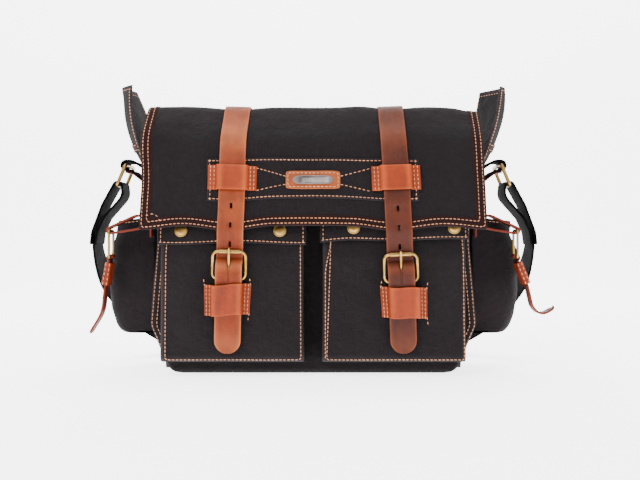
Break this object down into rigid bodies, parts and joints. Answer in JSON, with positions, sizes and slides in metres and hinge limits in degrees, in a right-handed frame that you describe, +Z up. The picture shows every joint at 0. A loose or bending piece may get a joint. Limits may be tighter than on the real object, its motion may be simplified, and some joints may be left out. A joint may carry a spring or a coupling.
{
  "type": "camera bag",
  "caption": "Soft camera bag with a hinged flap, leather buckle straps, front and side pockets, a padded inside, a rear zip pocket and a shoulder strap.",
  "frame": {"origin": "on the floor, under the middle of the main body's base", "axes": "+X along the bag's width, +Y to the back, -Y to the flap and front pockets, +Z up"},
  "size_m": [0.5083, 0.2426, 0.318],
  "materials": {
    "black_canvas": "heavy woven cotton canvas, matt",
    "padded_lining": "brushed nylon lining over foam",
    "black_webbing": "ribbed nylon webbing",
    "tan_leather": "oiled pull-up leather, satin",
    "dark_leather": "oiled pull-up leather, darker, satin",
    "antique_brass": "brushed antique brass",
    "grey_metal": "dull pewter",
    "tan_thread": "waxed thread",
    "hem_cloth": "folded canvas hem, red-brown cast"
  },
  "bodies": {
    "root": {"front_panel": "black_canvas", "back_panel": "black_canvas", "base_panel": "black_canvas", "padded_insert": "padded_lining", "wing_bands": "black_canvas", "snap_studs": "antique_brass", "rear_pocket": "black_canvas", "rear_zip_tape": "black_webbing", "rear_zip_teeth": "antique_brass", "tab_anchors": "dark_leather", "side_rings": "antique_brass", "buckle_chapes": "dark_leather", "left_gusset": "black_canvas", "left_wing": "black_canvas", "left_divider": "padded_lining", "left_front_pocket": "black_canvas", "left_side_pocket": "black_canvas", "left_side_strap": "dark_leather", "left_strap_tail": "tan_leather", "left_lower_keeper": "tan_leather", "right_gusset": "black_canvas", "right_wing": "black_canvas", "right_divider": "padded_lining", "right_front_pocket": "black_canvas", "right_side_pocket": "black_canvas", "right_side_strap": "dark_leather", "right_strap_tail": "dark_leather", "right_lower_keeper": "tan_leather"},
    "flap": {"flap_canvas": "black_canvas", "flap_lining": "padded_lining", "flap_band": "black_canvas", "label_patch": "tan_leather", "label_plate": "grey_metal", "left_buckle_strap": "tan_leather", "left_upper_keeper": "tan_leather", "right_buckle_strap": "dark_leather", "right_upper_keeper": "tan_leather"},
    "shoulder_strap": {"shoulder_strap_webbing": "black_webbing", "strap_rings": "antique_brass", "left_strap_end": "black_webbing", "left_tab_loop": "black_webbing", "right_strap_end": "black_webbing", "right_tab_loop": "black_webbing"},
    "zip_slider": {"rear_zip_slider": "antique_brass"},
    "zip_pull": {"rear_zip_pull": "dark_leather"},
    "left_pocket_flap": {"left_pocket_flap": "black_canvas", "left_snap_caps": "antique_brass"},
    "left_buckle": {"left_buckle_frame": "antique_brass"},
    "left_roller": {"left_buckle_roller": "antique_brass"},
    "left_prong": {"left_buckle_prong": "antique_brass"},
    "left_side_tail": {"left_side_tail": "dark_leather", "left_side_keeper": "tan_leather"},
    "right_pocket_flap": {"right_pocket_flap": "black_canvas", "right_snap_caps": "antique_brass"},
    "right_buckle": {"right_buckle_frame": "antique_brass"},
    "right_roller": {"right_buckle_roller": "antique_brass"},
    "right_prong": {"right_buckle_prong": "antique_brass"},
    "right_side_tail": {"right_side_tail": "dark_leather", "right_side_keeper": "tan_leather"}
  },
  "joints": [
    {"name": "flap_hinge", "type": "hinge", "parent": "root", "child": "flap", "pos_m": [0, 0.058, 0.279], "axis": [-1, 0, 0], "range_deg": [0, 160]},
    {"name": "shoulder_strap_swing", "type": "hinge", "parent": "root", "child": "shoulder_strap", "pos_m": [0, 0, 0.226], "axis": [1, 0, 0], "range_deg": [0, 150]},
    {"name": "zip_slide", "type": "slide", "parent": "root", "child": "zip_slider", "axis": [-1, 0, 0], "range_m": [0, 0.212]},
    {"name": "zip_pull_hinge", "type": "hinge", "parent": "zip_slider", "child": "zip_pull", "pos_m": [0.106, 0.0672, 0.214], "axis": [0, 0, -1], "range_deg": [0, 90]},
    {"name": "left_pocket_flap_hinge", "type": "hinge", "parent": "root", "child": "left_pocket_flap", "pos_m": [0, -0.0572, 0.19], "axis": [-1, 0, 0], "range_deg": [0, 96]},
    {"name": "left_buckle_hinge", "type": "hinge", "parent": "root", "child": "left_buckle", "pos_m": [-0.08649, -0.0915, 0.10302], "axis": [0.9997, 0, -0.0262], "range_deg": [0, 40]},
    {"name": "left_prong_hinge", "type": "hinge", "parent": "left_buckle", "child": "left_prong", "pos_m": [-0.08649, -0.0915, 0.10302], "axis": [0.9997, 0, -0.0262], "range_deg": [0, 40]},
    {"name": "left_roller_spin", "type": "hinge", "parent": "left_buckle", "child": "left_roller", "pos_m": [-0.08576, -0.0945, 0.13101], "axis": [0.9997, 0, -0.0262], "continuous": true},
    {"name": "left_side_tail_swing", "type": "hinge", "parent": "root", "child": "left_side_tail", "pos_m": [-0.217, -0.051, 0.124], "axis": [0, 1, 0], "range_deg": [0, 50]},
    {"name": "right_pocket_flap_hinge", "type": "hinge", "parent": "root", "child": "right_pocket_flap", "pos_m": [0, -0.0572, 0.19], "axis": [-1, 0, 0], "range_deg": [0, 96]},
    {"name": "right_buckle_hinge", "type": "hinge", "parent": "root", "child": "right_buckle", "pos_m": [0.09081, -0.0915, 0.10005], "axis": [0.9992, 0, 0.0401], "range_deg": [0, 40]},
    {"name": "right_prong_hinge", "type": "hinge", "parent": "right_buckle", "child": "right_prong", "pos_m": [0.09081, -0.0915, 0.10005], "axis": [0.9992, 0, 0.0401], "range_deg": [0, 40]},
    {"name": "right_roller_spin", "type": "hinge", "parent": "right_buckle", "child": "right_roller", "pos_m": [0.08968, -0.0945, 0.12803], "axis": [0.9992, 0, 0.0401], "continuous": true},
    {"name": "right_side_tail_swing", "type": "hinge", "parent": "root", "child": "right_side_tail", "pos_m": [0.217, -0.051, 0.124], "axis": [0, -1, 0], "range_deg": [0, 50]}
  ],
  "couplings": [
    {"joint": "left_pocket_flap_hinge", "follows": "flap_hinge", "ratio": 0.6},
    {"joint": "right_pocket_flap_hinge", "follows": "flap_hinge", "ratio": 0.6}
  ]
}
